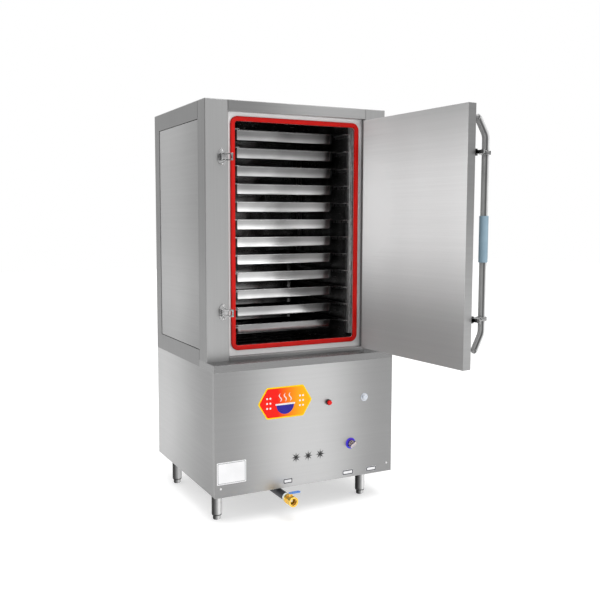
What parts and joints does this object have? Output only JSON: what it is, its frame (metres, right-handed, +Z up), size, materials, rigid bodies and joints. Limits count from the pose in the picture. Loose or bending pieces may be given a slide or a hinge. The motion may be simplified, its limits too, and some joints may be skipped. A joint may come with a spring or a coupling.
{
  "type": "rice noodle roll steamer",
  "caption": "Free-standing gas steam cabinet with pull-out steaming trays behind one hinged, gasketed door with a long latch handle, on a lower cabinet with tank, burner and controls.",
  "frame": {"origin": "on the floor, under the middle of the bounding box with the door open as pictured", "axes": "+X to the right seen from the front, +Y to the back, +Z up"},
  "size_m": [0.7902, 1.1623, 1.5],
  "materials": {
    "casing": "brushed stainless steel sheet",
    "door_inside": "brushed stainless steel sheet",
    "frame_bright": "bright satin stainless steel",
    "chamber": "bright stainless steel, reflecting",
    "tray": "bright stainless steel, reflecting",
    "rack": "polished chrome",
    "seal": "smooth silicone rubber",
    "insulation": "soft mineral wool",
    "chrome": "polished chrome",
    "bracket": "black paint",
    "drain_hose": "black paint",
    "brass": "machined brass",
    "drain_lever": "blue vinyl-dipped paint",
    "grip": "pale blue ribbed rubber",
    "burner": "dark cast iron",
    "pipework": "dull galvanised steel",
    "dial": "blue printed ring",
    "knob": "satin silver plastic",
    "button_collar": "dark gloss plastic",
    "button": "red gloss plastic",
    "lamp": "clear white plastic",
    "feet": "bright satin stainless steel"
  },
  "bodies": {
    "cabinet": {"front_posts": "casing", "header_rail": "casing", "sill_rail": "casing", "front_ledge": "casing", "side_frames": "casing", "side_panels": "casing", "top_cover": "casing", "back_panels": "casing", "recess_frame": "frame_bright", "door_seal": "seal", "chamber_liner": "chamber", "insulation": "insulation", "tray_racks": "rack", "strikers": "chrome", "hinge_brackets": "chrome", "lower_front": "casing", "lower_sides": "casing", "base_pan": "casing", "panel_screws": "chrome", "water_tank": "chamber", "burner": "burner", "gas_pipes": "pipework", "gas_valve": "brass", "knob_dial": "dial", "button_collar": "button_collar", "lamp_bezel": "chrome", "signal_lamp": "lamp", "water_pipe": "pipework", "drain_pipe": "drain_hose", "drain_valve": "brass", "leg_sleeves": "feet"},
    "door": {"door_outer_panel": "casing", "door_inner_panel": "door_inside", "door_core": "insulation", "door_hinges": "chrome", "latch_brackets": "bracket"},
    "latch": {"handle_bar": "chrome", "handle_grip": "grip", "latch_levers": "chrome"},
    "tray_01": {"tray_01": "tray"},
    "tray_02": {"tray_02": "tray"},
    "tray_03": {"tray_03": "tray"},
    "tray_04": {"tray_04": "tray"},
    "tray_05": {"tray_05": "tray"},
    "tray_06": {"tray_06": "tray"},
    "tray_07": {"tray_07": "tray"},
    "tray_08": {"tray_08": "tray"},
    "tray_09": {"tray_09": "tray"},
    "tray_10": {"tray_10": "tray"},
    "tray_11": {"tray_11": "tray"},
    "tray_12": {"tray_12": "tray"},
    "knob": {"gas_knob": "knob"},
    "button": {"push_button": "button"},
    "drain_tap": {"valve_ball": "chrome", "drain_lever": "drain_lever"},
    "foot_front_left": {"foot_front_left": "feet"},
    "foot_front_right": {"foot_front_right": "feet"},
    "foot_rear_left": {"foot_rear_left": "feet"},
    "foot_rear_right": {"foot_rear_right": "feet"}
  },
  "joints": [
    {"name": "door_hinge", "type": "hinge", "parent": "cabinet", "child": "door", "pos_m": [0.2655, -0.004, 0], "axis": [0, 0, 1], "range_deg": [-94.8, 25.2]},
    {"name": "latch_turn", "type": "hinge", "parent": "door", "child": "latch", "pos_m": [0.32774, -0.53014, 0], "axis": [0, 0, 1], "range_deg": [-34, 0]},
    {"name": "tray_01_slide", "type": "slide", "parent": "cabinet", "child": "tray_01", "axis": [0, -1, 0], "range_m": [0, 0.3]},
    {"name": "tray_02_slide", "type": "slide", "parent": "cabinet", "child": "tray_02", "axis": [0, -1, 0], "range_m": [0, 0.3]},
    {"name": "tray_03_slide", "type": "slide", "parent": "cabinet", "child": "tray_03", "axis": [0, -1, 0], "range_m": [0, 0.3]},
    {"name": "tray_04_slide", "type": "slide", "parent": "cabinet", "child": "tray_04", "axis": [0, -1, 0], "range_m": [0, 0.3]},
    {"name": "tray_05_slide", "type": "slide", "parent": "cabinet", "child": "tray_05", "axis": [0, -1, 0], "range_m": [0, 0.3]},
    {"name": "tray_06_slide", "type": "slide", "parent": "cabinet", "child": "tray_06", "axis": [0, -1, 0], "range_m": [0, 0.3]},
    {"name": "tray_07_slide", "type": "slide", "parent": "cabinet", "child": "tray_07", "axis": [0, -1, 0], "range_m": [0, 0.3]},
    {"name": "tray_08_slide", "type": "slide", "parent": "cabinet", "child": "tray_08", "axis": [0, -1, 0], "range_m": [0, 0.3]},
    {"name": "tray_09_slide", "type": "slide", "parent": "cabinet", "child": "tray_09", "axis": [0, -1, 0], "range_m": [0, 0.3]},
    {"name": "tray_10_slide", "type": "slide", "parent": "cabinet", "child": "tray_10", "axis": [0, -1, 0], "range_m": [0, 0.3]},
    {"name": "tray_11_slide", "type": "slide", "parent": "cabinet", "child": "tray_11", "axis": [0, -1, 0], "range_m": [0, 0.3]},
    {"name": "tray_12_slide", "type": "slide", "parent": "cabinet", "child": "tray_12", "axis": [0, -1, 0], "range_m": [0, 0.3]},
    {"name": "gas_knob_turn", "type": "hinge", "parent": "cabinet", "child": "knob", "pos_m": [0.1606, -0.0555, 0.236], "axis": [0, -1, 0], "range_deg": [0, 90]},
    {"name": "button_press", "type": "slide", "parent": "cabinet", "child": "button", "axis": [0, 1, 0], "range_m": [0, 0.004]},
    {"name": "drain_lever_turn", "type": "hinge", "parent": "cabinet", "child": "drain_tap", "pos_m": [-0.128, -0.1208, 0.08], "axis": [0, 0, -1], "range_deg": [0, 90]},
    {"name": "foot_front_left_thread", "type": "slide", "parent": "cabinet", "child": "foot_front_left", "axis": [0, 0, -1], "range_m": [0, 0.025]},
    {"name": "foot_front_right_thread", "type": "slide", "parent": "cabinet", "child": "foot_front_right", "axis": [0, 0, -1], "range_m": [0, 0.025]},
    {"name": "foot_rear_left_thread", "type": "slide", "parent": "cabinet", "child": "foot_rear_left", "axis": [0, 0, -1], "range_m": [0, 0.025]},
    {"name": "foot_rear_right_thread", "type": "slide", "parent": "cabinet", "child": "foot_rear_right", "axis": [0, 0, -1], "range_m": [0, 0.025]}
  ]
}
